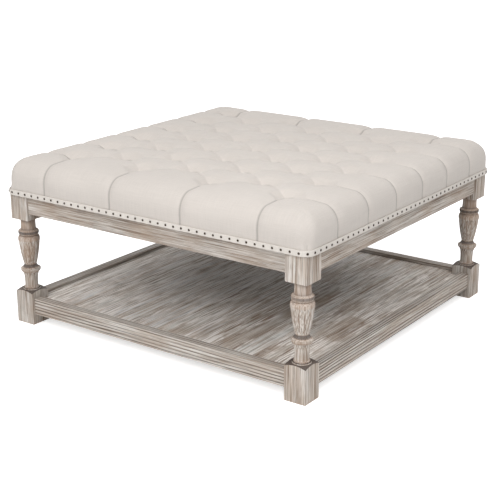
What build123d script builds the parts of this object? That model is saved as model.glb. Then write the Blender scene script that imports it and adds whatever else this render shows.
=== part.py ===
from build123d import *
import math
import os

# Ottoman coffee table: a button-tufted top on four turned posts, with a boarded shelf near the floor.
# Millimetres. The origin is on the floor under the middle of the table, +Z is up, the front faces -Y.

# Post frame
frame_width = 950.0  # over the outer faces of the legs, left to right
frame_depth = 950.0  # over the outer faces of the legs, front to back
leg_block = 60.0  # side of the square blocks at the foot and the head of a leg
foot_block_height = 95.0
turning_height = 203.0
top_block_height = 70.0
pommel_drop = 5.5  # how far the foot block's turned shoulder falls from a face's middle to a corner
flute_count = 12
flute_depth = 1.2

# Aprons under the top
apron_height = 51.0
apron_thickness = 22.0
apron_setback = 5.0
apron_tenon_length = 22.0
apron_tenon_thickness = 10.0
tenon_shoulder = 8.0  # how much lower than its rail a tenon is, above and below
mortise_clearance = 0.1

# Shelf
shelf_rail_height = 46.0
shelf_rail_thickness = 26.0
shelf_rail_setback = 8.0
shelf_rail_bottom = 29.0
shelf_tenon_length = 22.0
shelf_tenon_thickness = 12.0
shelf_panel_drop = 10.0  # how far the boards lie below the rails' top edge
board_thickness = 15.0
board_gap = 0.6
board_width_shares = (
    0.078, 0.075, 0.085, 0.080, 0.086, 0.085, 0.078, 0.070, 0.053, 0.077, 0.060, 0.065, 0.108
)
notch_clearance = 0.5
cleat_width = 20.0
batten_width = 60.0
batten_places_shares = (-1 / 6, 1 / 6)  # of the shelf's inner depth, from its middle

# Corner blocks and what fastens them
corner_block_thickness = 22.0
corner_block_height = 40.0
corner_block_clearance = 0.5
hanger_bolt_radius = 4.0
hanger_bolt_length = 64.0
bolt_clearance = 0.3
nut_width = 13.0
nut_thickness = 6.5
deck_screw_radius = 2.3
deck_screw_head_radius = 4.5
deck_screw_head_height = 3.0
deck_screw_bite = 12.0  # how far a deck screw goes into the deck
deck_screw_place_share = 0.75  # along a corner block, from one end to the other

# Top: deck, foam and tufted cover
deck_overhang = 1.0  # of the deck over the legs, on every side
deck_thickness = 18.0
deck_corner_radius = 18.5
dust_cover_thickness = 1.0
foam_thickness = 52.0
foam_inset = 3.0  # from the deck's edge
foam_corner_radius = 40.0
foam_edge_bevel = 18.0
foam_clearance = 0.3
cover_wrap = 5.5  # linen and wadding over the deck's edge
side_bulge = 3.5
bulge_height = 47.0  # from the deck's underside to the widest line
cushion_corner_radius = 44.0
edge_roll_radius = 50.0
edge_roll_angle = 84.0
edge_roll_steps = 6
side_steps = 3
crown = 3.5
crown_flat_share = 0.84  # of the cushion's width, which the top's level middle takes up

# Tufting
tuft_columns = 4
tuft_rows = 6
tuft_pitch_x = 227.0
tuft_pitch_y = 141.0
fold_half_width = 46.0
fold_depth = 11.0
fold_rise = 5.0  # how far the fold's cutter stands above the edge of the top
fold_knee_shares = (0.5, 0.25)  # where a fold's side gets steeper: of its width out, of its height down
well_radius = 40.0
well_depth = 15.0
well_sides = 8
well_shares = ((0, 1), (0.2, 0.45))  # spread past the button's seat, and depth
pleat_half_width = 30.0
pleat_depth = 6.0
pleat_rise = 2.0
corner_pleat_depth = 4.5
pleat_roll_steps = 4
button_radius = 11.0
button_height = 5.0
button_dome_share = 0.55
button_sides = 8
button_clearance = 0.5
twine_width = 3.0
twine_thickness = 1.5

# Nailed band round the foot of the top
band_height = 14.0
band_thickness = 2.5
nail_pitch = 24.0
nail_head_radius = 3.6
nail_head_height = 2.2
nail_head_sides = 6
nail_shank = 1.6
nail_bite = 9.0  # how far a nail goes into the deck's edge

overrun = 2.0  # how far cutters reach past what they cut

# Levels and places that follow from the sizes above
leg_height = foot_block_height + turning_height + top_block_height
leg_x = (frame_width - leg_block) / 2
leg_y = (frame_depth - leg_block) / 2
deck_width = frame_width + 2 * deck_overhang
deck_depth = frame_depth + 2 * deck_overhang
deck_top = leg_height + deck_thickness
wide_level = leg_height + bulge_height
edge_level = wide_level + edge_roll_radius
wrapped_width = deck_width + 2 * cover_wrap
wrapped_depth = deck_depth + 2 * cover_wrap
wrapped_radius = deck_corner_radius + cover_wrap
cushion_width = wrapped_width + 2 * side_bulge
cushion_depth = wrapped_depth + 2 * side_bulge
band_top = leg_height + band_height
board_top = shelf_rail_bottom + shelf_rail_height - shelf_panel_drop
board_bottom = board_top - board_thickness
corners = {
    "front_left": (-leg_x, -leg_y, 0),
    "front_right": (leg_x, -leg_y, 90),
    "back_right": (leg_x, leg_y, 180),
    "back_left": (-leg_x, leg_y, 270),
}

os.makedirs("parts", exist_ok=True)


def keep(name, piece):
    """Labels a finished piece and writes its STEP file."""
    piece.label = name
    export_step(piece, f"parts/{name}.step")


# Legs. Each is one square post: a foot block, a turned length and a head block.
# The turning from the foot up. Each run is a straight, by its ends, or a curve, by its start, middle
# and end; a point is a radius, as a share of half the block, and a height, as a share of the turning.
turning_shares = (
    ((0.79, 0.000), (0.77, 0.013)),  # ring on the foot block
    ((0.66, 0.017), (0.66, 0.030)),  # fillet
    ((0.59, 0.036), (0.59, 0.120), (0.635, 0.207)),  # hollow drum
    ((0.68, 0.212), (0.70, 0.240)),  # collar
    ((0.76, 0.244), (0.87, 0.264), (0.90, 0.294)),  # underside of the lower ring
    ((0.90, 0.294), (0.69, 0.316), (0.56, 0.345)),  # hollow over the lower ring
    ((0.56, 0.352), (0.78, 0.500), (0.94, 0.672)),  # fluted vase
    ((0.94, 0.672), (0.98, 0.714), (0.90, 0.752)),  # vase shoulder
    ((0.80, 0.757), (0.84, 0.770)),  # groove
    ((0.84, 0.770), (0.92, 0.794), (0.90, 0.826)),  # upper ring
    ((0.90, 0.826), (0.73, 0.838), (0.68, 0.862)),  # hollow over the upper ring
    ((0.68, 0.866), (0.66, 0.930), (0.67, 1.000)),  # neck
)
flute_bottom_share, flute_top_share = 0.352, 0.660
flute_bottom_radius_share, flute_top_radius_share = 0.58, 0.935


def on_turning(radius_share, height_share):
    """A point of the turned profile: how far from the leg's axis, and how high."""
    return radius_share * leg_block / 2, foot_block_height + height_share * turning_height


block_reach = leg_block / math.sqrt(2) + overrun
block_drop = pommel_drop * (block_reach - leg_block / 2) / (leg_block / math.sqrt(2) - leg_block / 2)
foot_shoulder = (
    (0, 0),
    (block_reach, 0),
    (block_reach, foot_block_height - block_drop),
    (leg_block / 2, foot_block_height),
)
head_base = foot_block_height + turning_height
head_block = (
    (block_reach, head_base),
    (block_reach, leg_height),
    (0, leg_height),
)
rail_joints = (
    # the level of the rail's middle, its tenon's height, thickness and length, and its line from the axis
    (
        leg_height - apron_height / 2,
        apron_height - 2 * tenon_shoulder,
        apron_tenon_thickness,
        apron_tenon_length,
        leg_block / 2 - apron_setback - apron_thickness / 2,
    ),
    (
        shelf_rail_bottom + shelf_rail_height / 2,
        shelf_rail_height - 2 * tenon_shoulder,
        shelf_tenon_thickness,
        shelf_tenon_length,
        leg_block / 2 - shelf_rail_setback - shelf_rail_thickness / 2,
    ),
)

with BuildPart() as flute_cutter:
    foot_r, foot_z = on_turning(flute_bottom_radius_share, flute_bottom_share)
    head_r, head_z = on_turning(flute_top_radius_share, flute_top_share)
    flute_line = Vector(head_r - foot_r, 0, head_z - foot_z)
    with BuildSketch(Plane(origin=(foot_r, 0, foot_z), x_dir=(0, 1, 0), z_dir=flute_line)):
        RegularPolygon(flute_depth, 4)
    extrude(amount=flute_line.length)

with BuildPart() as turned_leg:
    with BuildSketch(Plane.XZ):
        with BuildLine():
            last = Polyline(*foot_shoulder) @ 1
            for run in turning_shares:
                points = [on_turning(*point_share) for point_share in run]
                if (last - Vector(*points[0])).length > 0:
                    Line(last, points[0])
                last = (Spline(*points) if len(points) == 3 else Line(*points)) @ 1
            Line(last, head_block[0])
            Polyline(*head_block)
            Line(head_block[-1], foot_shoulder[0])
        make_face()
    revolve(axis=Axis.Z)
    with BuildSketch():
        Rectangle(leg_block, leg_block)
    extrude(amount=leg_height, mode=Mode.INTERSECT)
    with PolarLocations(0, flute_count, start_angle=180 / flute_count):
        add(flute_cutter.part, mode=Mode.SUBTRACT)
    for level, height, thickness, length, line in rail_joints:
        depth = length + mortise_clearance
        wide = thickness + 2 * mortise_clearance
        high = height + 2 * mortise_clearance
        with Locations((leg_block / 2 - depth / 2, -line, level)):
            Box(depth, wide, high, mode=Mode.SUBTRACT)
        with Locations((-line, leg_block / 2 - depth / 2, level)):
            Box(wide, depth, high, mode=Mode.SUBTRACT)

for corner, (x, y, turn) in corners.items():
    with BuildPart() as leg:
        with Locations(Location((x, y, 0), (0, 0, turn))):
            add(turned_leg.part)
    keep(f"leg_{corner}", leg.part)


# Rails. The aprons and the shelf rails are boards tenoned into the legs on all four sides.
def rail(span, length_of_tenon, thickness, height, tenon_thickness):
    """A rail along X, centred on the origin, with a stub tenon at each end."""
    with BuildPart() as board:
        Box(span, thickness, height)
        Box(span + 2 * length_of_tenon, tenon_thickness, height - 2 * tenon_shoulder)
    return board.part


def place_rails(kind, tenon_length, thickness, height, tenon_thickness, setback, level):
    """The four rails of one frame, each on its own side of the table."""
    along_x = rail(frame_width - 2 * leg_block, tenon_length, thickness, height, tenon_thickness)
    along_y = rail(frame_depth - 2 * leg_block, tenon_length, thickness, height, tenon_thickness)
    to_line = setback + thickness / 2
    sides = {
        "front": (along_x, 0, -(frame_depth / 2 - to_line), 0),
        "back": (along_x, 0, frame_depth / 2 - to_line, 180),
        "left": (along_y, -(frame_width / 2 - to_line), 0, 270),
        "right": (along_y, frame_width / 2 - to_line, 0, 90),
    }
    for side, (blank, x, y, turn) in sides.items():
        with BuildPart() as placed:
            with Locations(Location((x, y, level), (0, 0, turn))):
                add(blank)
        keep(f"{kind}_{side}", placed.part)


place_rails(
    "apron",
    apron_tenon_length,
    apron_thickness,
    apron_height,
    apron_tenon_thickness,
    apron_setback,
    leg_height - apron_height / 2,
)
place_rails(
    "shelf_rail",
    shelf_tenon_length,
    shelf_rail_thickness,
    shelf_rail_height,
    shelf_tenon_thickness,
    shelf_rail_setback,
    shelf_rail_bottom + shelf_rail_height / 2,
)

# Shelf. Boards run front to back inside the rails, on cleats and battens.
shelf_width = frame_width - 2 * (shelf_rail_setback + shelf_rail_thickness)
shelf_depth = frame_depth - 2 * (shelf_rail_setback + shelf_rail_thickness)
leg_inner_x = frame_width / 2 - leg_block - notch_clearance
leg_inner_y = frame_depth / 2 - leg_block - notch_clearance
notch = leg_block + 2 * notch_clearance
left_edge = -shelf_width / 2
for number, width_share in enumerate(board_width_shares, 1):
    board_width = width_share * shelf_width
    with BuildPart() as board:
        with BuildSketch(Plane.XY.offset(board_bottom)):
            with Locations((left_edge + board_width / 2, 0)):
                Rectangle(board_width - board_gap, shelf_depth - board_gap)
            with GridLocations(2 * leg_x, 2 * leg_y, 2, 2):
                Rectangle(notch, notch, mode=Mode.SUBTRACT)
        extrude(amount=board_thickness)
    keep(f"shelf_board_{number:02d}", board.part)
    left_edge += board_width

cleat_height = board_bottom - shelf_rail_bottom
for side in (-1, 1):
    with BuildPart() as cleat:
        with BuildSketch(Plane.XY.offset(shelf_rail_bottom)):
            with Locations((0, side * (shelf_depth - cleat_width) / 2)):
                Rectangle(2 * leg_inner_x, cleat_width)
        extrude(amount=cleat_height)
    keep("shelf_cleat_front" if side < 0 else "shelf_cleat_back", cleat.part)
    with BuildPart() as cleat:
        with BuildSketch(Plane.XY.offset(shelf_rail_bottom)):
            with Locations((side * (shelf_width - cleat_width) / 2, 0)):
                Rectangle(cleat_width, 2 * (leg_inner_y - cleat_width))
        extrude(amount=cleat_height)
    keep("shelf_cleat_left" if side < 0 else "shelf_cleat_right", cleat.part)

for number, place_share in enumerate(batten_places_shares, 1):
    with BuildPart() as batten:
        with BuildSketch(Plane.XY.offset(shelf_rail_bottom)):
            with Locations((0, place_share * shelf_depth)):
                Rectangle(shelf_width - 2 * cleat_width, batten_width)
        extrude(amount=cleat_height)
    keep(f"shelf_batten_{number}", batten.part)

# Corner blocks brace the aprons behind each leg, take the leg's bolt and carry the deck's screws.
apron_inner = apron_setback + apron_thickness
block_ends = leg_block - apron_inner  # how far the leg stands in past the aprons
block_face = (2 * block_ends + corner_block_clearance) / math.sqrt(2)
block_front = block_face + corner_block_thickness
bolt_level = leg_height - apron_height / 2
with BuildPart() as corner_block:
    # The apron's inner corner is the origin here, and +X and +Y lead along the aprons.
    near, far = block_face * math.sqrt(2), block_front * math.sqrt(2)
    with BuildSketch(Plane.XY.offset(leg_height - corner_block_height)):
        Polygon((near, 0), (far, 0), (0, far), (0, near), align=None)
    extrude(amount=corner_block_height)
    through = Plane(origin=(near / 2, near / 2, bolt_level), z_dir=(1, 1, 0))
    with BuildSketch(through):
        Circle(hanger_bolt_radius + bolt_clearance)
    extrude(amount=corner_block_thickness, mode=Mode.SUBTRACT)
    # The screw to the deck stands half way between the leg's bolt and the apron.
    screw_place = (
        (near + far) / 2 * deck_screw_place_share,
        (near + far) / 2 * (1 - deck_screw_place_share),
    )
    with BuildSketch(Plane.XY.offset(leg_height - corner_block_height)):
        with Locations(screw_place):
            Circle(deck_screw_radius + bolt_clearance)
    extrude(amount=corner_block_height, mode=Mode.SUBTRACT)

with BuildPart() as hanger_bolt:
    bolt_start = Plane(origin=(0, 0, bolt_level), z_dir=(1, 1, 0)).offset(
        block_front + 2 * nut_thickness - hanger_bolt_length
    )
    nut_plane = Plane(origin=(0, 0, bolt_level), z_dir=(1, 1, 0)).offset(block_front)
    with BuildSketch(bolt_start):
        Circle(hanger_bolt_radius)
    extrude(amount=hanger_bolt_length)
    with BuildSketch(nut_plane):
        RegularPolygon(nut_width / 2, 6, major_radius=False)
    extrude(amount=nut_thickness)

with BuildPart() as deck_screw:
    screw_length = corner_block_height + deck_screw_bite
    with BuildSketch(Plane.XY.offset(leg_height - corner_block_height)):
        with Locations(screw_place):
            Circle(deck_screw_radius)
    extrude(amount=screw_length)
    with BuildSketch(Plane.XY.offset(leg_height - corner_block_height - deck_screw_head_height)):
        with Locations(screw_place):
            Circle(deck_screw_head_radius)
    extrude(amount=deck_screw_head_height)

apron_corner_x = frame_width / 2 - apron_inner
apron_corner_y = frame_depth / 2 - apron_inner
apron_corners = {}
for corner, (x, y, turn) in corners.items():
    inner_corner = (math.copysign(apron_corner_x, x), math.copysign(apron_corner_y, y), 0)
    apron_corners[corner] = Location(inner_corner, (0, 0, turn))
for corner, place in apron_corners.items():
    with BuildPart() as placed_block:
        with Locations(place):
            add(corner_block.part)
    keep(f"corner_block_{corner}", placed_block.part)
with BuildPart() as leg_bolts:
    with Locations(*apron_corners.values()):
        add(hanger_bolt.part)
keep("leg_bolts", leg_bolts.part)
with BuildPart() as deck_screws:
    with Locations(*apron_corners.values()):
        add(deck_screw.part)
keep("deck_screws", deck_screws.part)

# Deck and foam. The deck is a board on top of the frame, and the foam is glued on it.
with BuildPart() as seat_deck:
    with BuildSketch(Plane.XY.offset(leg_height)):
        RectangleRounded(deck_width, deck_depth, deck_corner_radius)
    extrude(amount=deck_thickness)
keep("seat_deck", seat_deck.part)


def foam_block(clearance):
    """The foam with its upper edges bevelled off, or with a clearance the space it fills."""
    with BuildPart() as block:
        with BuildSketch(Plane.XY.offset(deck_top)):
            RectangleRounded(
                deck_width - 2 * foam_inset + 2 * clearance,
                deck_depth - 2 * foam_inset + 2 * clearance,
                foam_corner_radius,
            )
        extrude(amount=foam_thickness + clearance)
        chamfer(block.faces().sort_by(Axis.Z)[-1].edges(), foam_edge_bevel)
    return block.part


keep("seat_foam", foam_block(0))

# Dust cover: black cloth stapled to the deck's underside, cut off at the corner blocks.
with BuildPart() as dust_cover:
    with BuildSketch(Plane.XY.offset(leg_height - dust_cover_thickness)):
        Rectangle(2 * (apron_corner_x - overrun), 2 * (apron_corner_y - overrun))
    extrude(amount=dust_cover_thickness)
    chamfer(dust_cover.edges().filter_by(Axis.Z), block_front * math.sqrt(2))
keep("dust_cover", dust_cover.part)


# Tufted cover: linen over wadding, drawn down at the buttons and folded along the diamonds between them.
def cushion_section(level, inset, radius):
    """The cushion's outline at one level, inset from its widest outline."""
    with BuildSketch(Plane.XY.offset(level)) as section:
        RectangleRounded(cushion_width - 2 * inset, cushion_depth - 2 * inset, radius)
    return section.sketch


def fold_profile(plane, half_width, depth, rise):
    """The valley between two pillows: both sides turn down from level to a crease."""
    knee_share, drop_share = fold_knee_shares
    knee = (knee_share * half_width, rise - drop_share * (rise + depth))
    with BuildSketch(plane) as profile:
        Polygon(
            (-half_width, rise),
            (-knee[0], knee[1]),
            (0, -depth),
            knee,
            (half_width, rise),
            align=None,
        )
    return profile.sketch


with BuildPart() as cushion_form:
    levels = [cushion_section(leg_height, side_bulge, wrapped_radius)]
    for step in range(side_steps + 1):
        rise = math.sin(math.pi / 2 * step / side_steps)
        levels.append(
            cushion_section(
                band_top + (wide_level - band_top) * step / side_steps,
                side_bulge * (1 - rise),
                wrapped_radius + (cushion_corner_radius - wrapped_radius) * rise,
            )
        )
    for step in range(1, edge_roll_steps + 1):
        turn = math.radians(edge_roll_angle) * step / edge_roll_steps
        levels.append(
            cushion_section(
                wide_level + edge_roll_radius * math.sin(turn),
                edge_roll_radius * (1 - math.cos(turn)),
                cushion_corner_radius,
            )
        )
    flat_inset = (1 - crown_flat_share) * cushion_width / 2 + edge_roll_radius
    levels.append(cushion_section(edge_level + crown, flat_inset, cushion_corner_radius))
    loft(levels, ruled=True)

half_pitch_x, half_pitch_y = tuft_pitch_x / 2, tuft_pitch_y / 2
button_places = [
    (column * half_pitch_x, row * half_pitch_y)
    for column in range(1 - tuft_columns, tuft_columns)
    for row in range(1 - tuft_rows, tuft_rows)
    if (column + row) % 2 == 0
]

# One diagonal fold for every line of buttons, both ways across the top
fold_lines = []
for way in (1, -1):
    lines = {}
    for x, y in button_places:
        number = round(x / half_pitch_x - way * y / half_pitch_y)
        lines.setdefault(number, []).append(Vector(x, y, edge_level))
    fold_lines += [(line[0], line[-1]) for line in lines.values() if len(line) > 1]

# A well is a funnel of flat sides, steep at its floor and easing out towards the pillows.
with BuildPart() as well_cutter:
    seat = button_radius + button_clearance
    for radius_share, depth_share in well_shares:
        with BuildSketch(Plane.XY.offset(-depth_share * well_depth)):
            RegularPolygon(seat + radius_share * (well_radius - seat), well_sides)
    with BuildSketch(Plane.XY.offset(fold_rise)):
        RegularPolygon(well_radius, well_sides)
    loft(ruled=True)


def pleat_cutter(run, depth):
    """The fold from an outer button over the cushion's edge to the band; the button is the origin."""
    over_edge = []
    for step in range(pleat_roll_steps + 1):
        turn = math.pi / 2 * step / pleat_roll_steps
        over_edge.append(
            (
                run - edge_roll_radius * (1 - math.sin(turn)),
                wide_level + edge_roll_radius * math.cos(turn),
            )
        )
    with BuildPart() as pleat:
        with BuildLine(Plane.XZ) as path:
            Polyline((0, edge_level), *over_edge, (run, band_top - overrun))
        start = Plane(origin=(0, 0, edge_level), x_dir=(0, 1, 0), z_dir=(1, 0, 0))
        sweep(
            fold_profile(start, pleat_half_width, depth, pleat_rise),
            path=path.wire(),
            transition=Transition.RIGHT,
        )
    return pleat.part


field_x, field_y = (tuft_columns - 1) * half_pitch_x, (tuft_rows - 1) * half_pitch_y
side_pleats = pleat_cutter(cushion_width / 2 - field_x, pleat_depth)
end_pleats = pleat_cutter(cushion_depth / 2 - field_y, pleat_depth)
# A corner stands out the furthest at the band, so its pleat is measured from there.
corner_inset = wrapped_radius * (1 - 1 / math.sqrt(2))
to_corner = Vector(wrapped_width / 2 - corner_inset - field_x, wrapped_depth / 2 - corner_inset - field_y)
corner_pleats = pleat_cutter(to_corner.length, corner_pleat_depth)
corner_turn = math.degrees(math.atan2(to_corner.Y, to_corner.X))

# The tufting is the same in every quarter of the top, so one quarter is cut and mirrored both ways.
near_buttons = [(x, y) for x, y in button_places if x >= 0 and y >= 0]
with BuildPart() as cover_quarter:
    add(cushion_form.part)
    add(seat_deck.part, mode=Mode.SUBTRACT)
    add(foam_block(foam_clearance), mode=Mode.SUBTRACT)
    Box(cushion_width, cushion_depth, 2 * edge_level, align=Align.MIN, mode=Mode.INTERSECT)
    with Locations(*[Location((x, y, 0)) for x, y in near_buttons if x == field_x]):
        add(side_pleats, mode=Mode.SUBTRACT)
    with Locations(*[Location((x, y, 0), (0, 0, 90)) for x, y in near_buttons if y == field_y]):
        add(end_pleats, mode=Mode.SUBTRACT)
    with Locations(Location((field_x, field_y, 0), (0, 0, corner_turn))):
        add(corner_pleats, mode=Mode.SUBTRACT)
    for start, end in fold_lines:
        if end.X > 0 and max(start.Y, end.Y) > 0:
            along = end - start
            across = Plane(origin=start, x_dir=Vector(0, 0, 1).cross(along), z_dir=along)
            extrude(
                fold_profile(across, fold_half_width, fold_depth, fold_rise),
                amount=along.length,
                mode=Mode.SUBTRACT,
            )
    with Locations(*[(x, y, edge_level) for x, y in near_buttons]):
        add(well_cutter.part, mode=Mode.SUBTRACT)
with BuildPart() as tufted_cover:
    add(cover_quarter.part)
    mirror(about=Plane.YZ)
    mirror(about=Plane.XZ)
keep("tufted_cover", tufted_cover.part)

# Buttons sit on the floors of the wells, each tied down through foam and deck by its own twine.
button_level = edge_level - well_depth
with BuildPart() as button:
    with BuildSketch(Plane.XY.offset(button_level)) as button_foot:
        RegularPolygon(button_radius, button_sides)
    with BuildSketch(Plane.XY.offset(button_level + button_height)) as button_crown:
        RegularPolygon(button_radius * button_dome_share, button_sides)
    loft([button_foot.sketch, button_crown.sketch], ruled=True)
with BuildPart() as cover_buttons:
    with Locations(*button_places):
        add(button.part)
keep("cover_buttons", cover_buttons.part)

with BuildPart() as button_twines:
    with BuildSketch(Plane.XY.offset(leg_height)):
        with Locations(*button_places):
            Rectangle(twine_width, twine_thickness)
    extrude(amount=button_level - leg_height)
keep("button_twines", button_twines.part)

# Nailed band: a folded strip of the same linen round the foot of the top
band_width = wrapped_width + 2 * band_thickness
band_depth = wrapped_depth + 2 * band_thickness
band_radius = wrapped_radius + band_thickness
with BuildPart() as nail_band:
    with BuildSketch(Plane.XY.offset(leg_height)):
        RectangleRounded(band_width, band_depth, band_radius)
        RectangleRounded(wrapped_width, wrapped_depth, wrapped_radius, mode=Mode.SUBTRACT)
    extrude(amount=band_height)
keep("nail_band", nail_band.part)

# Nails: domed heads along the middle of the band, and one on each corner
nail_level = leg_height + band_height / 2
nail_length = band_thickness + cover_wrap + nail_bite
with BuildPart() as nail:
    # The band's face is X = 0 here, and the nail points along -X.
    with BuildSketch(Plane.YZ) as head_foot:
        RegularPolygon(nail_head_radius, nail_head_sides)
    with BuildSketch(Plane.YZ) as shank_foot:
        Rectangle(nail_shank, nail_shank)
    loft([head_foot.sketch, Vertex(nail_head_height, 0, 0)], ruled=True)
    loft([shank_foot.sketch, Vertex(-nail_length, 0, 0)], ruled=True)

nail_places = []
for half_side, half_band, turns in (
    (band_width / 2 - band_radius, band_depth / 2, (270, 90)),
    (band_depth / 2 - band_radius, band_width / 2, (0, 180)),
):
    gaps = round(2 * half_side / nail_pitch)
    for turn in turns:
        side = Location((0, 0, nail_level), (0, 0, turn))
        for count in range(gaps + 1):
            along = half_side * (2 * count / gaps - 1)
            nail_places.append(side * Location((half_band, along, 0)))
for side_x in (-1, 1):
    for side_y in (-1, 1):
        centre_x = side_x * (band_width / 2 - band_radius)
        centre_y = side_y * (band_depth / 2 - band_radius)
        outwards = math.degrees(math.atan2(side_y, side_x))
        centre = Location((centre_x, centre_y, nail_level), (0, 0, outwards))
        nail_places.append(centre * Location((band_radius, 0, 0)))
with BuildPart() as band_nails:
    with Locations(*nail_places):
        add(nail.part)
keep("band_nails", band_nails.part)
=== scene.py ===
import bpy
import bmesh
import math
import numpy as np
from mathutils import Matrix, Vector, noise


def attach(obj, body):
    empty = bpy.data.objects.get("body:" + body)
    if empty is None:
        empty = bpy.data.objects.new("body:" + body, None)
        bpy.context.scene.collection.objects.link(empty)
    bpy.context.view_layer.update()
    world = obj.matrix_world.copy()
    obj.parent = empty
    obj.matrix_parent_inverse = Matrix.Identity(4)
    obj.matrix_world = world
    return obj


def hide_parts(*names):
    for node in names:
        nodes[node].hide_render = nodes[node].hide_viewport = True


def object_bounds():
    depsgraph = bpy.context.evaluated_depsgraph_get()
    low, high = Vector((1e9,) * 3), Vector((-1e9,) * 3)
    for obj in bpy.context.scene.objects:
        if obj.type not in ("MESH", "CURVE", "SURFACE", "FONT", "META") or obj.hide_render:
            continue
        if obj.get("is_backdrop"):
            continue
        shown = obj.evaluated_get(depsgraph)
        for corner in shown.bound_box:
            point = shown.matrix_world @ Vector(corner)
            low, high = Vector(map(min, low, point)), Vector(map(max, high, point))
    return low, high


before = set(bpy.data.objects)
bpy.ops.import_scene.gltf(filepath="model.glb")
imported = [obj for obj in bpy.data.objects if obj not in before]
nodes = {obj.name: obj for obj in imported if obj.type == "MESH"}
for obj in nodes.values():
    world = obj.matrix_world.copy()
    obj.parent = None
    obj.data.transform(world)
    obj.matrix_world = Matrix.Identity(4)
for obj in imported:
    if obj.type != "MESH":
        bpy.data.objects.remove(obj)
cad_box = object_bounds()

# Camera. The photograph looks down a little over the table's near corner, from its front right. The
# place, the turn and the lens were worked out from the blocks' corners and the nailed band.
camera = bpy.data.cameras.new("camera")
camera.sensor_width = 36
camera.lens = 83.14
eye = bpy.data.objects.new("camera", camera)
eye.location = (1.7921, -2.5542, 1.1809)
eye.rotation_euler = (math.radians(72.046), 0, math.radians(35.35))
bpy.context.scene.collection.objects.link(eye)
bpy.context.scene.camera = eye
bpy.context.scene.view_settings.view_transform = "Standard"


# Studio. A white floor and a white room light the table softly from all round, with one large soft
# lamp over the front, a smaller one on the right and a weak one behind, as in a catalogue picture.
def put(tree, kind, inputs=None, **settings):
    """Adds a node to a finish. An input is a plain value, or the output that feeds it."""
    node = tree.nodes.new("ShaderNode" + kind)
    for key, value in settings.items():
        setattr(node, key, value)
    for key, value in (inputs or {}).items():
        if isinstance(value, bpy.types.NodeSocket):
            tree.links.new(value, node.inputs[key])
        else:
            node.inputs[key].default_value = value
    return node


def span(tree, value, low, high, to_low=0.0, to_high=1.0):
    """A value taken from one range to another, and held at its ends."""
    ends = {"From Min": low, "From Max": high, "To Min": to_low, "To Max": to_high}
    return put(tree, "MapRange", {"Value": value, **ends}).outputs[0]


def combine(tree, first, second=0.0, operation="ADD"):
    """Two values worked into one, added if nothing else is said. Some operations need only the first."""
    return put(tree, "Math", {0: first, 1: second}, operation=operation).outputs[0]


def new_finish(name):
    """A new material, its node tree and its output."""
    finish = bpy.data.materials.new(name)
    finish.use_nodes = True
    finish.node_tree.nodes.clear()
    return finish, finish.node_tree, put(finish.node_tree, "OutputMaterial")


def seen_directly(tree):
    """1 where the camera, a reflection or a glass looks straight at the surface."""
    rays = put(tree, "LightPath").outputs
    direct = combine(tree, rays["Is Camera Ray"], rays["Is Glossy Ray"], "MAXIMUM")
    return combine(tree, direct, rays["Is Transmission Ray"], "MAXIMUM")


wall_light, ceiling_light = 0.22, 0.68
room = bpy.data.worlds.new("white_room")
room.use_nodes = True
tree = room.node_tree
tree.nodes.clear()
direction = put(tree, "TexCoord").outputs["Generated"]
rise = put(tree, "SeparateXYZ", {"Vector": direction}).outputs["Z"]
overhead = span(tree, rise, -0.05, 0.60, wall_light, ceiling_light)
room_light = combine(tree, overhead, seen_directly(tree), "MAXIMUM")
air = put(tree, "Background", {"Color": (1, 1, 1, 1), "Strength": room_light})
put(tree, "OutputWorld", {"Surface": air.outputs[0]})
bpy.context.scene.world = room

floor_size, floor_grey, floor_lift = 60, 0.88, 0.62
bpy.ops.object.select_all(action="DESELECT")
bpy.ops.mesh.primitive_plane_add(size=floor_size, location=(0, 0, 0))
floor = bpy.context.object
floor.name = "floor"
floor_white, tree, out = new_finish("floor_white")
paint = put(tree, "BsdfDiffuse", {"Color": (floor_grey, floor_grey, floor_grey, 1)})
lifted = span(tree, seen_directly(tree), 0, 1, 0, floor_lift)
lift = put(tree, "Emission", {"Color": (1, 1, 1, 1), "Strength": lifted})
both = put(tree, "AddShader", {0: paint.outputs[0], 1: lift.outputs[0]})
tree.links.new(both.outputs[0], out.inputs["Surface"])
floor.data.materials.append(floor_white)
floor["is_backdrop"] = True

lamp_aim = Vector((0, 0, 0.2))
for name, place, size, power in (
    ("key_lamp", (0.2, -2.8, 2.2), 1.8, 42),
    ("right_lamp", (2.0, -0.7, 2.5), 1.4, 22),
    ("back_lamp", (-1.8, 2.6, 2.4), 1.8, 15),
):
    lamp = bpy.data.lights.new(name, "AREA")
    lamp.shape = "DISK"
    lamp.size = size
    lamp.energy = power
    stand = bpy.data.objects.new(name, lamp)
    stand.location = place
    stand.rotation_euler = (lamp_aim - Vector(place)).to_track_quat("-Z", "Y").to_euler()
    bpy.context.scene.collection.objects.link(stand)


# Legs. Solid posts, turned between square blocks, wire-brushed, stained grey-brown and limed: the
# white stays in the open grain; brown wax and painted shade darken the turned hollows and shoulders.
def times(tree, first, second):
    """Two values multiplied."""
    return combine(tree, first, second, "MULTIPLY")


def tint(tree, share, colour, other, blend="MIX"):
    """A colour mixed with another one by a share."""
    other = other if isinstance(other, bpy.types.NodeSocket) else (*other, 1)
    colour = colour if isinstance(colour, bpy.types.NodeSocket) else (*colour, 1)
    mix = put(tree, "Mix", {"Factor": share, 6: colour, 7: other}, data_type="RGBA", blend_type=blend)
    return mix.outputs[2]


def ramp_of(tree, value, stops):
    """The colour that belongs to a value. stops is a list of (value, colour)."""
    ramp = put(tree, "ValToRGB", {"Fac": value})
    elements = ramp.color_ramp.elements
    for number, (level, colour) in enumerate(stops):
        element = elements[number] if number < 2 else elements.new(level)
        element.position = level
        element.color = (*colour, 1)
    return ramp.outputs[0]


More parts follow.
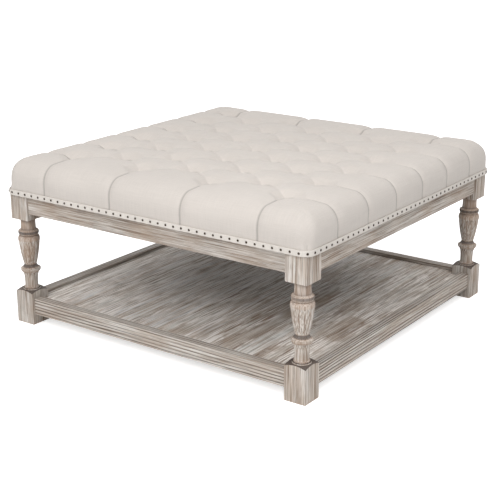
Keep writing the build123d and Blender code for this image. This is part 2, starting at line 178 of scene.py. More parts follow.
def coat(tree, out, surface):
    """Closes a finish with the surface that the light meets."""
    skin = put(tree, "BsdfPrincipled", surface)
    tree.links.new(skin.outputs[0], out.inputs["Surface"])


stained_tones = (  # steps below and above the grain's middle level, and the colours there
    (-1.6, (0.275, 0.208, 0.163)), (-0.5, (0.470, 0.396, 0.336)),
    (0.2, (0.580, 0.512, 0.452)), (1.4, (0.735, 0.690, 0.640)),
)
tone_step = 0.095
palest = 0.85
brown_stain = (0.400, 0.285, 0.205)
old_lime = (0.780, 0.752, 0.718)


class LimedWood:
    """Brushed and limed wood, which a piece's own section can work on further before it is sealed."""

    def __init__(
        self, name, along, seed, line=0.0021, contrast=1.0, lime=0.5, warm=0.3, tone=1.0, streaks=0.05,
    ):
        """along is the axis that the grain follows, and line how far apart the grain's lines are."""
        self.finish, self.tree, self.out = new_finish(name)
        tree = self.tree
        self.along = along
        self.shift = (seed * 1.37, seed * 0.83, seed * 2.11)  # so that no two pieces are cut alike
        self.place = put(tree, "TexCoord").outputs["Object"]
        self.rings = self.grain(line, 0.012, bend=0.03)
        hairs = self.grain(line * 0.8, 0.030, detail=2.0, bend=0.03)
        bands = self.grain(line * 8, 0.050, bend=0.2)
        patches = self.grain(line * 12, 0.16, detail=4.0, rough=0.65)
        cloud = {"Vector": self.place, "Scale": 7.0, "Detail": 3.0, "Roughness": 0.6}
        self.cloud = put(tree, "TexNoise", cloud).outputs["Fac"]
        level = combine(tree, self.rings, span(tree, bands, 0.35, 0.65, -streaks, streaks))
        self.colour = ramp_of(tree, level, [
            (0.5 + tone_step * step / contrast, [min(palest, tone * part) for part in colour])
            for step, colour in stained_tones
        ])
        self.lay(1.0, span(tree, hairs, 0.36, 0.50, 1 - 0.34 * contrast, 1.0), "MULTIPLY")
        self.lay(span(tree, self.cloud, 0.45, 0.72, 0, warm), brown_stain)
        open_grain = span(tree, self.rings, 0.42, 0.60, 0.15, lime)
        self.lay(times(tree, span(tree, patches, 0.50, 0.62), open_grain), old_lime)
        self.height = combine(tree, self.rings, times(tree, hairs, 0.7))

    def grain(self, gap, length_share, detail=3.0, rough=0.6, bend=0.12):
        """Noise drawn out along the grain: its lines are gap apart, and longer by the share."""
        scale = [1.0, 1.0, 1.0]
        scale["XYZ".index(self.along)] = length_share
        drawn = {"Vector": self.place, "Location": self.shift, "Scale": scale}
        spot = put(self.tree, "Mapping", drawn).outputs[0]
        lines = {"Vector": spot, "Scale": 1 / gap, "Detail": detail, "Roughness": rough, "Distortion": bend}
        return put(self.tree, "TexNoise", lines).outputs["Fac"]

    def lay(self, share, other, blend="MIX"):
        """Lays another colour over the wood's own, by a share."""
        self.colour = tint(self.tree, share, self.colour, other, blend)

    def seal(self):
        """Closes the finish: matt wood, with its brushed grain standing up a little."""
        bump = put(self.tree, "Bump", {"Strength": 0.6, "Distance": 0.0011, "Height": self.height})
        coat(self.tree, self.out, {
            "Base Color": self.colour, "Roughness": span(self.tree, self.rings, 0.35, 0.65, 0.85, 0.62),
            "Specular IOR Level": 0.3, "Normal": bump.outputs[0],
        })
        return self.finish


def dress(node, finish):
    """Gives a frame node its finish."""
    mesh = nodes[node].data
    mesh.materials.clear()
    mesh.materials.append(finish)


leg_top, leg_axis = 0.368, 0.445
flutes = 12  # round the vase, which is the long turned length between its lower and upper beads
vase_foot, vase_shoulder = (0.170, 0.176), (0.222, 0.231)
block_shoulder = (0.100, 0.101)  # where the foot block's curved shoulder ends
# browns of thin and thick wax, which also stand in for painted shade
thin_wax_and_shade, thick_wax_and_shade = (0.430, 0.280, 0.195), (0.088, 0.067, 0.057)
turned_wax_and_shade = (  # levels up the leg, and how much wax and painted shade the turning has there
    (0.0, 0.25), (0.006, 0.0), (0.0945, 0.0), (0.0990, 0.25), (0.1002, 0.60), (0.1018, 0.25),
    (0.1034, 0.0), (0.1052, 0.35), (0.1080, 0.05), (0.1440, 0.0), (0.1468, 0.40), (0.1492, 0.60),
    (0.1515, 0.10), (0.1568, 0.10), (0.1586, 0.80), (0.1655, 0.95), (0.1690, 0.35), (0.1704, 0.0),
    (0.2345, 0.05), (0.2370, 0.40), (0.2484, 0.40), (0.2498, 0.95), (0.2524, 0.15), (0.2548, 0.80),
    (0.2614, 0.90), (0.2636, 0.15), (0.2668, 0.80), (0.2710, 0.55), (0.2830, 0.40), (0.2930, 0.70),
    (0.2985, 0.0),
)


def wax_and_painted_shade(wood):
    """Brown wax and painted shade in a leg's hollows, flutes and foot block's shoulders, and under its rings.
    """
    tree = wood.tree
    spot = put(tree, "SeparateXYZ", {"Vector": wood.place}).outputs
    level = spot["Z"]
    stops = [(at / leg_top, (share, share, share)) for at, share in turned_wax_and_shade]
    hollows = ramp_of(tree, span(tree, level, 0, leg_top), stops)
    normal = put(tree, "NewGeometry").outputs["Normal"]
    # painted shade as well as wax on the foot block's upward-facing shoulders
    facing_up_shade = span(tree, put(tree, "SeparateXYZ", {"Vector": normal}).outputs["Z"], 0.35, 0.70, 0, 0.95)
    waxed_and_shaded = combine(tree, hollows, times(tree, facing_up_shade, span(tree, level, *block_shoulder, 1, 0)), "MAXIMUM")
    waxed_and_shaded = times(tree, waxed_and_shaded, span(tree, wood.cloud, 0.3, 0.6, 0.75, 1.0))
    aside_x, aside_y = (
        combine(tree, combine(tree, spot[axis], operation="ABSOLUTE"), leg_axis, "SUBTRACT")
        for axis in (0, 1)
    )
    # painted shade as well as wax in the flutes of the vase
    turn = times(tree, combine(tree, aside_y, aside_x, "ARCTAN2"), float(flutes))
    flute_wax_and_shade = span(tree, combine(tree, turn, operation="COSINE"), -1.0, -0.50, 0.60, 0)
    on_vase = times(tree, span(tree, level, *vase_foot), span(tree, level, *vase_shoulder, 1, 0))
    waxed_and_shaded = combine(tree, waxed_and_shaded, times(tree, flute_wax_and_shade, on_vase), "MAXIMUM")
    wood.lay(waxed_and_shaded, tint(tree, span(tree, waxed_and_shaded, 0.35, 0.80), thin_wax_and_shade, thick_wax_and_shade))


for number, corner in enumerate(("front_right", "front_left", "back_right", "back_left")):
    tone, warm = (1.0, 0.4) if corner == "front_right" else (0.90, 0.55)
    post = LimedWood(
        "limed_post_" + corner, "Z", 3.1 + 1.7 * number, contrast=1.15, lime=0.85, warm=warm, tone=tone,
    )
    wax_and_painted_shade(post)
    dress("leg_" + corner, post.seal())

# Aprons. Four plain boards tenoned between the legs' head blocks, one on each side under the top,
# with fine level grain and a darker stain than the legs.
table_sides = {"front": "X", "right": "Y", "back": "X", "left": "Y"}  # and the axis that each follows
for number, (side, along) in enumerate(table_sides.items()):
    apron = LimedWood(
        "limed_apron_" + side, along, 11.3 + number, line=0.0019, contrast=1.1, lime=0.45, warm=0.45,
        tone=0.82,
    )
    dress("apron_" + side, apron.seal())

# Shelf rails. Thicker boards between the foot blocks, brushed so hard that the grain stands in
# long open grooves, with lime left on the ridges between them.
groove_gap, groove_wander = 0.0086, 0.012
groove_strength = 0.75


def brush_grooves(wood):
    """Dark grooves along the grain, a groove_gap apart and wandering a little, and pale ridges."""
    tree = wood.tree
    spot = put(tree, "SeparateXYZ", {"Vector": wood.place}).outputs
    across = combine(tree, spot["Z"], spot["Y" if wood.along == "X" else "X"])
    wander = times(tree, wood.grain(0.050, 0.12, detail=2.0, bend=0.0), groove_wander)
    lines = times(tree, combine(tree, across, wander), 1 / groove_gap)
    in_gap = combine(tree, lines, operation="FRACT")
    from_groove = combine(tree, combine(tree, in_gap, 0.5, "SUBTRACT"), operation="ABSOLUTE")
    beside = span(tree, from_groove, 0.05, 0.20)
    uneven = wood.grain(0.020, 0.05, detail=2.0)
    depth = span(tree, uneven, 0.36, 0.60, 0.25 * groove_strength, groove_strength)
    darkened = times(tree, depth, combine(tree, 1.0, beside, "SUBTRACT"))
    wood.lay(1.0, combine(tree, 1.0, darkened, "SUBTRACT"), "MULTIPLY")
    ridge = times(tree, span(tree, from_groove, 0.26, 0.46), 0.5)
    wood.lay(times(tree, ridge, depth), old_lime)
    wood.height = combine(tree, wood.height, times(tree, beside, 2.2))


for number, (side, along) in enumerate(table_sides.items()):
    rail = LimedWood(
        "limed_rail_" + side, along, 21.7 + number, line=0.0019, contrast=0.8, lime=0.6, streaks=0.03,
    )
    brush_grooves(rail)
    dress("shelf_rail_" + side, rail.seal())

# Shelf boards. Reclaimed boards of mixed widths and tones, laid front to back between the rails,
# with white lime dragged along them. Two of them, right of the middle, kept more of their brown.
fresh_lime = (0.940, 0.885, 0.835)
board_tones = (1.24, 1.40, 1.28, 1.46, 1.36, 1.45, 1.32, 1.44, 1.30, 1.18, 1.34, 1.24, 1.14)
brown_boards = (9, 10)


def drag_lime(wood):
    """White lime dragged along a board, in streaks that come and go."""
    streak = span(wood.tree, wood.grain(0.0034, 0.034, detail=2.0, bend=0.02), 0.47, 0.56)
    area = span(wood.tree, wood.grain(0.085, 0.45, detail=4.0), 0.42, 0.52)
    wood.lay(times(wood.tree, streak, area), fresh_lime)


for number, tone in enumerate(board_tones, 1):
    warm = 0.85 if number in brown_boards else 0.55
    board = LimedWood(
        f"shelf_board_{number:02d}", "Y", 31.0 + 2.3 * number, line=0.0026, contrast=1.3, warm=warm,
        tone=0.95 * tone, streaks=0.08,
    )
    drag_lime(board)
    dress(f"shelf_board_{number:02d}", board.seal())

# Hidden wood. Plain sawn pine out of sight: the cleats and battens that carry the shelf, and the
# corner blocks behind the legs, which take the legs' bolts and the deck's screws.
for name in nodes:
    if name.startswith(("shelf_cleat", "shelf_batten", "corner_block")):
        along = "Y" if name.endswith(("cleat_left", "cleat_right")) else "X"
        pine = LimedWood("pine_" + name, along, 61.0 + len(name), contrast=0.6, lime=0.0, warm=0.7)
        dress(name, pine.seal())

# Rounded edges. Every board's and block's edge was sanded by hand after it was cut, and catches
# the light. The shelf's boards are sanded less, so that they lie close together.
board_edge, frame_edge = 0.0005, 0.0009
for name in nodes:
    if name.startswith(("apron", "shelf_rail", "shelf_board", "shelf_cleat", "shelf_batten", "corner_block")):
        joined = nodes[name].modifiers.new("joined", "WELD")
        joined.merge_threshold = 0.00001
        eased = nodes[name].modifiers.new("eased", "BEVEL")
        eased.width = board_edge if name.startswith("shelf_board") else frame_edge
        eased.segments = 2
        eased.limit_method = "ANGLE"
        eased.angle_limit = math.radians(60)


# Deck and fixings. One plywood board under the cushion, zinc-plated bolts and screws, and waxed
# twine from every button down through the deck.
def plain_finish(name, colour, roughness, metallic=0.0, grain=400.0, spread=0.25):
    """A finish with a fine mottle in its colour, its gloss and its surface."""
    finish, tree, out = new_finish(name)
    place = put(tree, "TexCoord").outputs["Object"]
    specks = {"Vector": place, "Scale": grain, "Detail": 4.0, "Roughness": 0.6}
    mottle = put(tree, "TexNoise", specks).outputs["Fac"]
    bump = put(tree, "Bump", {"Strength": 0.5, "Distance": 0.0002, "Height": mottle})
    coat(tree, out, {
        "Base Color": tint(tree, 1.0, colour, span(tree, mottle, 0, 1, 1 - spread, 1 + spread), "MULTIPLY"),
        "Roughness": span(tree, mottle, 0, 1, roughness * 0.8, min(1.0, roughness * 1.2)),
        "Metallic": metallic, "Normal": bump.outputs[0],
    })
    return finish


zinc_steel = plain_finish("zinc_steel", (0.55, 0.56, 0.58), 0.35, metallic=1.0)
dress("seat_deck", plain_finish("plywood", (0.46, 0.33, 0.20), 0.8, grain=60.0))
dress("leg_bolts", zinc_steel)
dress("deck_screws", zinc_steel)
dress("button_twines", plain_finish("twine", (0.62, 0.56, 0.44), 0.9))


# Cushion. Linen over wadding and foam, drawn down at 39 buttons and folded along the diamonds
# between them. The outer buttons' folds run on over the edge, down to the nailed band.
def linen_finish(name, colour, folded=True):
    """Plain-woven linen: two sets of uneven threads, a little sheen and slow changes of tone."""
    finish, tree, out = new_finish(name)
    place = put(tree, "TexCoord").outputs["Object"]
    flat = put(tree, "UVMap", uv_map="cloth").outputs[0] if folded else place
    threads, slubs = [], []
    for side, drawn in (("X", (16.0, 420.0, 16.0)), ("Y", (420.0, 16.0, 16.0))):
        wave = {"Vector": flat, "Scale": 190.0, "Distortion": 1.2, "Detail": 2.0, "Detail Scale": 1.5}
        threads.append(put(tree, "TexWave", wave, wave_type="BANDS", bands_direction=side).outputs["Fac"])
        spot = put(tree, "Mapping", {"Vector": flat, "Scale": drawn}).outputs[0]
        thicker = {"Vector": spot, "Scale": 1.0, "Detail": 3.0, "Roughness": 0.6}
        slubs.append(put(tree, "TexNoise", thicker).outputs["Fac"])
    weave = combine(tree, *threads, "MAXIMUM")
    slub = combine(tree, *slubs)
    cloud = put(tree, "TexNoise", {"Vector": place, "Scale": 5.0, "Detail": 2.0}).outputs["Fac"]
    shade = times(tree, span(tree, slub, 0.7, 1.3, 0.955, 1.040), span(tree, weave, 0, 1, 0.92, 1.02))
    shade = times(tree, shade, span(tree, cloud, 0.3, 0.7, 0.975, 1.015))
    # painted shade: the linen is darkened where the fold attribute says it is shut in
    if folded:
        fold = put(tree, "Attribute", attribute_name="fold").outputs["Fac"]
        shade = times(tree, shade, span(tree, fold, 0.42, 0.85, 1.0, 0.52))
    bump = put(tree, "Bump", {"Strength": 0.35, "Distance": 0.0003, "Height": combine(tree, weave, slub)})
    coat(tree, out, {
        "Base Color": tint(tree, 1.0, colour, shade, "MULTIPLY"),
        "Roughness": 0.92, "Specular IOR Level": 0.2,
        "Sheen Weight": 0.12, "Sheen Roughness": 0.5, "Normal": bump.outputs[0],
    })
    return finish


half_pitch_x, half_pitch_y = 0.1135, 0.0705  # between two lines of buttons
last_column, last_row = 3, 5  # of buttons, from the middle one
last_x, last_y = last_column * half_pitch_x, last_row * half_pitch_y
button_places = [
    (column * half_pitch_x, row * half_pitch_y)
    for column in range(-last_column, last_column + 1)
    for row in range(-last_row, last_row + 1)
    if (column + row) % 2 == 0
]
cells = 12  # of the cloth between two lines of buttons, so that every fold lies on a line of the mesh
step_x, step_y = half_pitch_x / cells, half_pitch_y / cells
columns, rows = 46, 74  # from the middle to where the top starts to roll over its edge
reach_x, reach_y = columns * step_x, rows * step_y
wide_half, wide_level = 0.485, 0.415  # the cushion's widest line
roll = 0.050  # the edge's radius, from the widest line up to the top
crown_level = 0.4693
deck_level, foot_level = 0.3862, 0.368
band_level = 0.382
on_line = 0.0005  # a point this near to a fold lies on it

past_x, past_y = (last_column + 0.5) * half_pitch_x, (last_row + 0.5) * half_pitch_y
folds = []
for x, y in button_places:
    for side_y in (1, -1):
        end_x, end_y = x + half_pitch_x, y + side_y * half_pitch_y
        if end_x < past_x and abs(end_y) < past_y:
            folds.append((x, y, end_x, end_y))
outside = 0.6  # beyond the cushion's edge
pleats_x = sorted({x for x, y in button_places if abs(y) > last_y - 0.5 * half_pitch_y})
pleats_y = sorted({y for x, y in button_places if abs(x) > last_x - 0.5 * half_pitch_x})
pleats = [(x, side * last_y, x, side * outside) for x in pleats_x for side in (-1, 1)]
pleats += [(side * last_x, y, side * outside, y) for y in pleats_y for side in (-1, 1)]


def nearest_on(lines, spots):
    """For every spot its distance to the nearest line, and where on that line."""
    best = np.full(len(spots), 9.0)
    foot = np.zeros((len(spots), 2))
    for x0, y0, x1, y1 in lines:
        start, run = np.array((x0, y0)), np.array((x1 - x0, y1 - y0))
        share = np.clip((spots - start) @ run / max(run @ run, 1e-12), 0, 1)
        near = start + share[:, None] * run
        gap = np.hypot(*(spots - near).T)
        closer = gap < best
        best[closer] = gap[closer]
        foot[closer] = near[closer]
    return best, foot


def swell(share, power=2.3, root=1.45):
    """A pillow's height from its fold, 0, to its middle, 1: steep at the fold and flat on top."""
    return (1 - (1 - np.clip(share, 0, 1)) ** power) ** (1 / root)


def close_to(distance, spread):
    """1 at a button, dying away over the spread."""
    return np.exp(-((distance / spread) ** 2))


# the top: a grid of points with the folds along its cells' diagonals
top = np.array([
    (column * step_x, row * step_y)
    for row in range(-rows, rows + 1)
    for column in range(-columns, columns + 1)
])
across = 2 * columns + 1
faces = []
for row in range(2 * rows):
    for column in range(2 * columns):
        a = row * across + column
        b, c, d = a + 1, a + across + 1, a + across
        u, v = (column - columns) % cells, (row - rows) % cells
        rising = ((column - columns) // cells + (row - rows) // cells) % 2 == 0
        if rising and u == v:
            faces += [(a, b, c), (a, c, d)]
        elif not rising and u == cells - 1 - v:
            faces += [(a, b, d), (b, c, d)]
        else:
            faces.append((a, b, c, d))

# the top's height: crowned, falling a little towards the edge, with the folds, the pleats and the
# buttons' bowls let in, all of them deeper where a button draws them down
edge_width, edge_fall, corner_fall = 0.09, 0.0042, 1.3
pillow_reach, pleat_reach = 0.0599, 0.044  # from a fold or a pleat to where the cloth lies level
fold_depth, fold_drawn, fold_spread = 0.0052, 0.0048, 0.048
pleat_depth, pleat_drawn, pleat_spread = 0.0064, 0.0036, 0.050
bowl_radius, bowl_depth = 0.044, 0.0150
seat_radius = 0.012  # held down by the button
buttons_as_lines = [(x, y, x, y) for x, y in button_places]
gap, foot = nearest_on(folds, top)
pleat_gap, pleat_foot = nearest_on(pleats, top)
to_button = nearest_on(buttons_as_lines, top)[0]
fold_to_button = nearest_on(buttons_as_lines, foot)[0]
pleat_to_button = nearest_on(buttons_as_lines, pleat_foot)[0]
edge_x = np.clip((np.abs(top[:, 0]) - (reach_x - edge_width)) / edge_width, 0, 1)
edge_y = np.clip((np.abs(top[:, 1]) - (reach_y - edge_width)) / edge_width, 0, 1)
height = crown_level - edge_fall * np.clip(np.hypot(edge_x, edge_y), 0, corner_fall) ** 2
fold_drop = fold_depth + fold_drawn * close_to(fold_to_button, fold_spread)
fold_drop = fold_drop * (1 - swell(gap / pillow_reach))
pleat_drop = pleat_depth + pleat_drawn * close_to(pleat_to_button, pleat_spread)
pleat_drop = pleat_drop * (1 - swell(pleat_gap / pleat_reach, 2.8))
bowl = bowl_depth * np.clip(1 - (to_button / bowl_radius) ** 2, 0, 1)
drop = np.maximum(fold_drop, pleat_drop) + bowl
points = [(x, y, z) for (x, y), z in zip(top, height - drop)]
cloth_uv = [tuple(spot) for spot in top]
on_fold = [bool(value) for value in (gap < on_line) | (pleat_gap < on_line)]
pinned = [i for i in range(len(points)) if on_fold[i] or to_button[i] < seat_radius]

# painted shade in the linen where it is shut in: on the pleats, near a button on the folds, and in the bowls
pleat_shade, corner_shade = 0.75, 0.6
shut_in_shade = np.where(pleat_gap < on_line, pleat_shade, 0.15 + 0.5 * close_to(fold_to_button, 0.035))
bowl_shade = 0.85 * close_to(to_button, 0.024)
painted_fold_shade = [float(value) for value in np.maximum(shut_in_shade * on_fold, bowl_shade)]

# one loop of points round the grid's edge, side by side: (point, place along the side)
by_column = [(column + columns, column * step_x) for column in range(-columns, columns + 1)]
by_row = [((row + rows) * across, row * step_y) for row in range(-rows, rows + 1)]
sides = (
    ("front", (0, -1), -90, by_column),
    ("right", (1, 0), 0, [(i + 2 * columns, along) for i, along in by_row]),
    ("back", (0, 1), 90, [(i + 2 * rows * across, along) for i, along in reversed(by_column)]),
    ("left", (-1, 0), 180, by_row[::-1]),
)

# rings from there over the edge and down to the band: how far in from the widest line, the level,
# the corner's radius and the pleats' depth
roll_rings, side_rings = 10, 6
corner_radius, foot_radius = 0.044, 0.024
edge_pleat, side_pleat, foot_pleat = 0.0066, 0.0068, 0.0020
foot_inset = 0.0035
rings = []
for number in range(1, roll_rings + 1):
    share = number / roll_rings
    turn = math.radians(90 * (1 - share))
    radius = corner_radius * math.cos(turn) ** 0.8 + 0.001
    rings.append((
        roll * (1 - math.cos(turn)), wide_level + roll * math.sin(turn), radius,
        pleat_depth + (edge_pleat - pleat_depth) * share,
    ))
for number in range(1, side_rings + 1):
    share = number / side_rings
    rings.append((
        foot_inset * math.sin(math.pi / 2 * share) ** 2, wide_level + (band_level - wide_level) * share,
        corner_radius - (corner_radius - foot_radius) * share ** 1.5,
        side_pleat - (side_pleat - foot_pleat) * share,
    ))
hem_inset, hem_radius = 0.0088, 0.0187
tucked = [  # behind the band, round the deck's edge and under the foam
    (0.0040, 0.3745, foot_radius, 0), (0.0042, foot_level, foot_radius, 0),
    (hem_inset, foot_level, hem_radius, 0), (hem_inset, deck_level, hem_radius, 0),
]


def add_point(place, flat, folded, painted_shade):
    """Adds a point to the cloth, with its place on the flat linen and its painted shade, and says which
    number it has.
    """
    points.append(place)
    cloth_uv.append(flat)
    on_fold.append(folded)
    painted_fold_shade.append(painted_shade * folded)
    return len(points) - 1


corner_parts = 10
side_reach = 0.040  # from a pleat on the side to where the cloth lies level
gathers_from, gather_start, gather_reach, gathered = 0.02, 0.012, 0.030, 0.45  # towards a corner
corner_share, corner_tuck, tuck_width = 0.3, 0.0035, 0.1  # round it, and in its one fold low down
corner_fold_ring = roll_rings + 2
walked, last_spot = 0.0, (roll, wide_level + roll)
ring_before = None
for number, (inset, level, radius, depth) in enumerate(rings + tucked):
    loose = number < len(rings)
    walked += math.hypot(inset - last_spot[0], level - last_spot[1])
    last_spot = (inset, level)
    half = wide_half - inset
    facing_up = min(1.0, max(0.0, (level - wide_level) / roll))
    facing_out = math.sqrt(1 - facing_up ** 2)
    parts = []
    for name, (out_x, out_y), turn, edge in sides:
        reach, last_button, side_pleats = (
            (reach_x, last_x, pleats_x) if out_y else (reach_y, last_y, pleats_y)
        )
        part = []
        for _, along in edge:
            spare = abs(along) - last_button
            if spare > 0:
                stretch = (half - radius - last_button) / (reach - last_button)
                along = math.copysign(last_button + spare * stretch, along)
            pleat_near = min(abs(along - place) for place in side_pleats)
            corner_near = half - radius - abs(along)
            pull = depth * (1 - float(swell(pleat_near / side_reach, 3.0)))
            if corner_near < gathers_from:
                eased_off = float(swell((corner_near + gather_start) / gather_reach))
                pull = max(pull, gathered * depth * (1 - eased_off))
            drawn_half = half - pull * facing_out
            part.append(add_point(
                (out_x * drawn_half or along, out_y * drawn_half or along, level - pull * facing_up),
                (out_x * (reach_x + walked) or along, out_y * (reach_y + walked) or along),
                loose and pleat_near < on_line, pleat_shade,
            ))
        parts.append(part)
        centre_x = (half - radius) * (1 if name in ("front", "right") else -1)
        centre_y = (half - radius) * (1 if name in ("right", "back") else -1)
        low = max(0.0, (number - roll_rings + 1) / (side_rings + 1)) if loose else 0.0
        corner = []
        for count in range(1, corner_parts):
            angle = math.radians(turn + 90 * count / corner_parts)
            off_middle = abs(count / corner_parts - 0.5)
            pull = corner_share * depth * (1 - float(swell(off_middle * 1.8)))
            pull += corner_tuck * low * math.exp(-((off_middle / tuck_width) ** 2))
            size = radius - pull * facing_out
            across_x, across_y = math.cos(angle), math.sin(angle)
            corner.append(add_point(
                (centre_x + size * across_x, centre_y + size * across_y, level - pull * facing_up),
                (centre_x + walked * across_x, centre_y + walked * across_y),
                loose and number > corner_fold_ring and off_middle < 0.01, corner_shade,
            ))
        parts.append(corner)
    ring = [i for part in parts for i in part]
    if ring_before is None:
        for side, (_, _, _, edge) in enumerate(sides):
            inner, outer = [i for i, _ in edge], parts[2 * side]
            for k in range(len(inner) - 1):
                faces.append((inner[k + 1], inner[k], outer[k], outer[k + 1]))
            fan = [outer[-1]] + parts[2 * side + 1] + [parts[(2 * side + 2) % 8][0]]
            faces += [(inner[-1], fan[k], fan[k + 1]) for k in range(len(fan) - 1)]
    else:
        for k in range(len(ring)):
            following = (k + 1) % len(ring)
            faces.append((ring_before[following], ring_before[k], ring[k], ring[following]))
    if not loose or number == len(rings) - 1:
        pinned += ring
    else:
        pinned += [i for i in ring if on_fold[i]]
    ring_before = ring

mesh = bpy.data.meshes.new("cushion")
mesh.from_pydata(points, [], faces)
cushion = bpy.data.objects.new("cushion", mesh)
bpy.context.scene.collection.objects.link(cushion)
layer = mesh.uv_layers.new(name="cloth")
for corner in mesh.loops:
    layer.data[corner.index].uv = cloth_uv[corner.vertex_index]
# the painted shade of folds, pleats and bowls goes to the linen as a point attribute
fold_shade_layer = mesh.attributes.new("fold", "FLOAT", "POINT")
fold_shade_layer.data.foreach_set("value", painted_fold_shade)
fold_crease = 0.85
creased = [all(on_fold[i] for i in edge.vertices) for edge in mesh.edges]
crease = mesh.attributes.new("crease_edge", "FLOAT", "EDGE")
crease.data.foreach_set("value", [fold_crease * value for value in creased])
mesh.shade_smooth()
mesh.update()

# the filling: the cloth, held at its folds, buttons and foot, is blown up a little between them
filling_pressure, filling_frames, swell_limit = 4, 20, 0.008
held = cushion.vertex_groups.new(name="held")
held.add(pinned, 1.0, "REPLACE")
filling = cushion.modifiers.new("filling", "CLOTH")
filling.settings.vertex_group_mass = "held"
filling.settings.use_pressure = True
filling.settings.uniform_pressure_force = filling_pressure
filling.settings.effector_weights.gravity = 0
filling.point_cache.frame_start = 1
filling.point_cache.frame_end = filling_frames
for number in range(1, filling_frames + 1):
    bpy.context.scene.frame_set(number)
before = np.empty(len(mesh.vertices) * 3)
mesh.vertices.foreach_get("co", before)
blown = cushion.evaluated_get(bpy.context.evaluated_depsgraph_get())
after = np.empty(len(mesh.vertices) * 3)
blown.data.vertices.foreach_get("co", after)
moved = (after - before).reshape(-1, 3)
length = np.linalg.norm(moved, axis=1)
moved *= np.minimum(1, swell_limit / np.maximum(length, 1e-9))[:, None]
cushion.modifiers.remove(filling)
cushion.vertex_groups.clear()
mesh.vertices.foreach_set("co", before + moved.ravel())
mesh.update()
bpy.context.scene.frame_set(1)
smooth = cushion.modifiers.new("smooth", "SUBSURF")
smooth.levels = smooth.render_levels = 1
bpy.ops.object.select_all(action="DESELECT")
bpy.context.view_layer.objects.active = cushion
cushion.select_set(True)
bpy.ops.object.modifier_apply(modifier="smooth")

# the underside, which lies on the deck, is closed with one flat face
shell = bmesh.new()
shell.from_mesh(mesh)
hem = [edge for edge in shell.edges if edge.is_boundary]
for face in bmesh.ops.holes_fill(shell, edges=hem, sides=0)["faces"]:
    face.smooth = False
    if face.normal.z > 0:
        face.normal_flip()
shell.to_mesh(mesh)
shell.free()
mesh.materials.append(linen_finish("linen", (0.640, 0.592, 0.550)))
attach(cushion, "root")
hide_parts("tufted_cover", "seat_foam")


# Buttons. 39 domed buttons, each a metal shell covered with the same linen and drawn down on its
# twine into a dimple. Each leans a little its own way.
def domed_head(segments, rings_up, radius, height):
    """The upper half of a ball, flat underneath and pressed down to its height."""
    bpy.ops.object.select_all(action="DESELECT")
    bpy.ops.mesh.primitive_uv_sphere_add(segments=segments, ring_count=rings_up, radius=radius)
    bpy.ops.object.mode_set(mode="EDIT")
    bpy.ops.mesh.select_all(action="SELECT")
    bpy.ops.mesh.bisect(plane_co=(0, 0, 0), plane_no=(0, 0, -1), clear_outer=True, use_fill=True)
    bpy.ops.mesh.select_all(action="SELECT")
    bpy.ops.transform.resize(value=(1, 1, height / radius), center_override=(0, 0, 0))
    bpy.ops.object.mode_set(mode="OBJECT")
    bpy.ops.object.shade_smooth_by_angle(angle=math.radians(60))
    return bpy.context.object


def set_out(head, name, places):
    """Makes the head into one piece with a copy of itself at every place."""
    row = bmesh.new()
    for place in places:
        placed = head.data.copy()
        placed.transform(place)
        row.from_mesh(placed)
        bpy.data.meshes.remove(placed)
    head.name = name
    row.to_mesh(head.data)
    row.free()


def turned(degrees, axis):
    """A turn about one of the three axes."""
    return Matrix.Rotation(math.radians(degrees), 4, axis)


button_radius, button_height, button_seat = 0.011, 0.0055, 0.4455
button_lean = 3
buttons = domed_head(20, 12, button_radius, button_height)
set_out(buttons, "linen_buttons", [
    Matrix.Translation((x, y, button_seat))
    @ turned(button_lean * math.sin(number * 2.4), "X") @ turned(button_lean * math.cos(number * 1.7), "Y")
    for number, (x, y) in enumerate(button_places)
])
buttons.data.materials.append(linen_finish("button_linen", (0.625, 0.578, 0.536), folded=False))
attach(buttons, "root")
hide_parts("cover_buttons")


# Nailed band. A folded strip of the same linen, a little paler, drawn tight round the foot of the top
# and nailed through to the deck's edge. It stands out slightly between the nails.
def pick_edges(wanted):
    """In edit mode, selects the edges that are wanted and no others."""
    bpy.ops.mesh.select_all(action="DESELECT")
    for edge in bmesh.from_edit_mesh(bpy.context.object.data).edges:
        edge.select_set(wanted(edge))


def upright(edge):
    """Whether an edge runs up the band."""
    return abs(edge.verts[0].co.z - edge.verts[1].co.z) > 0.001


def whole_side(edge):
    """Whether an edge runs along a whole side of the band."""
    return edge.calc_length() > 0.5


band_half, band_low, band_high, band_round = 0.4843, 0.3677, 0.3823, 0.0268
band_straight = band_half - band_round
band_middle = (band_low + band_high) / 2
band_thick, band_fold = 0.0026, 0.0009
slack_out, slack_up = 0.0007, 0.0004
nail_gaps = 38  # along a side, between its first and its last nail
cuts_per_gap = 4
nail_level = 0.375
bpy.ops.object.select_all(action="DESELECT")
bpy.ops.mesh.primitive_cube_add(size=1, location=(0, 0, band_middle))
band = bpy.context.object
band.name = "linen_band"
band.scale = (2 * band_half, 2 * band_half, band_high - band_low)
bpy.ops.object.transform_apply(location=True, rotation=True, scale=True)
bpy.ops.object.mode_set(mode="EDIT")
bpy.context.tool_settings.mesh_select_mode = (False, False, True)
for face in bmesh.from_edit_mesh(band.data).faces:
    face.select_set(abs(face.normal.z) > 0.5)
bpy.ops.mesh.delete(type="ONLY_FACE")
bpy.context.tool_settings.mesh_select_mode = (False, True, False)
pick_edges(upright)
bpy.ops.mesh.bevel(offset=band_round, segments=8, affect="EDGES")
pick_edges(whole_side)
bpy.ops.mesh.subdivide(number_cuts=nail_gaps * cuts_per_gap - 1)
pick_edges(upright)
bpy.ops.mesh.subdivide(number_cuts=3)
bpy.ops.object.mode_set(mode="OBJECT")
nail_gap = 2 * band_straight / nail_gaps
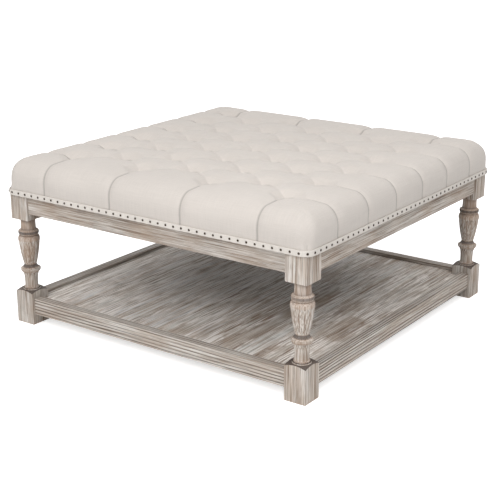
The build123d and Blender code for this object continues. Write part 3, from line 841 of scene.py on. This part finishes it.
for vertex in band.data.vertices:
    x, y, z = vertex.co
    along, side = (x, 1) if abs(y) > abs(x) else (y, 0)
    if abs(along) <= band_straight + 0.0001:
        slack = 0.5 - 0.5 * math.cos(2 * math.pi * (along + band_straight) / nail_gap)
        to_edge = abs(2 * (z - band_low) / (band_high - band_low) - 1)
        proud = slack_out * slack * (0.4 + 0.6 * to_edge)
        vertex.co[side] += math.copysign(proud, vertex.co[side])
        if abs(z - nail_level) > 0.006:
            vertex.co.z += slack_up * slack * (1 if z > band_middle else -1)
thick = band.modifiers.new("thick", "SOLIDIFY")
thick.thickness = band_thick
thick.offset = -1
folded_edge = band.modifiers.new("folded_edge", "BEVEL")
folded_edge.width = band_fold
folded_edge.segments = 3
folded_edge.limit_method = "ANGLE"
folded_edge.angle_limit = math.radians(50)
bpy.ops.object.modifier_apply(modifier="thick")
bpy.ops.object.modifier_apply(modifier="folded_edge")
bpy.ops.object.shade_smooth_by_angle(angle=math.radians(40))
band.data.materials.append(linen_finish("band_linen", (0.715, 0.668, 0.618), folded=False))
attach(band, "root")
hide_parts("nail_band")

# Nails. 160 small domed heads of aged bronze, driven at even gaps through the middle of the band
# into the deck's edge, with one of them on each corner.
head_radius, head_height = 0.0032, 0.0020
nails = domed_head(10, 6, head_radius, head_height)
heads = [(band_half, band_straight * (2 * count / nail_gaps - 1), 0) for count in range(nail_gaps + 1)]
corner_spot = band_straight + band_round / math.sqrt(2)
heads.append((corner_spot, corner_spot, 45))
set_out(nails, "bronze_nails", [
    turned(90 * quarter, "Z") @ Matrix.Translation((x, y, nail_level)) @ turned(turn, "Z") @ turned(90, "Y")
    for quarter in range(4)
    for x, y, turn in heads
])
nails.data.materials.append(plain_finish(
    "aged_bronze", (0.060, 0.044, 0.034), 0.38, metallic=0.85, grain=700.0, spread=0.5,
))
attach(nails, "root")
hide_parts("band_nails")

# Dust cover. One sheet of black cloth, stapled under the deck inside the aprons, cut off at the
# corner blocks and sagging a few millimetres.
cover_side, cover_level, cover_thick = 0.892, 0.3672, 0.0005
cover_cells = 60
cover_sag, cover_ripple = 0.004, 0.0012
corner_cut = 0.0976
bpy.ops.object.select_all(action="DESELECT")
bpy.ops.mesh.primitive_grid_add(
    x_subdivisions=cover_cells, y_subdivisions=cover_cells, size=cover_side, location=(0, 0, cover_level),
)
dust_cover = bpy.context.object
dust_cover.name = "dust_sheet"
bpy.ops.object.transform_apply(location=True, rotation=True, scale=True)
bpy.ops.object.mode_set(mode="EDIT")
for side_x, side_y in ((1, 1), (1, -1), (-1, 1), (-1, -1)):
    bpy.ops.mesh.select_all(action="SELECT")
    on_cut = (side_x * cover_side / 2, side_y * (cover_side / 2 - corner_cut), cover_level)
    bpy.ops.mesh.bisect(plane_co=on_cut, plane_no=(side_x, side_y, 0), clear_outer=True)
bpy.ops.object.mode_set(mode="OBJECT")
for vertex in dust_cover.data.vertices:
    x, y = 2 * vertex.co.x / cover_side, 2 * vertex.co.y / cover_side
    ripple = noise.noise(Vector((3 * x, 3 * y, 0.5))) * cover_ripple
    vertex.co.z -= (cover_sag + ripple) * (1 - x * x) * (1 - y * y)
thick = dust_cover.modifiers.new("thick", "SOLIDIFY")
thick.thickness = cover_thick
thick.offset = -1
bpy.ops.object.modifier_apply(modifier="thick")
bpy.ops.object.shade_smooth_by_angle(angle=math.radians(40))
dust_cover.data.materials.append(plain_finish(
    "dust_cloth", (0.014, 0.014, 0.015), 0.9, grain=900.0, spread=0.4,
))
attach(dust_cover, "root")
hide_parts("dust_cover")

size = {"cad": [list(c) for c in cad_box], "visual": [list(c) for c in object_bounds()]}
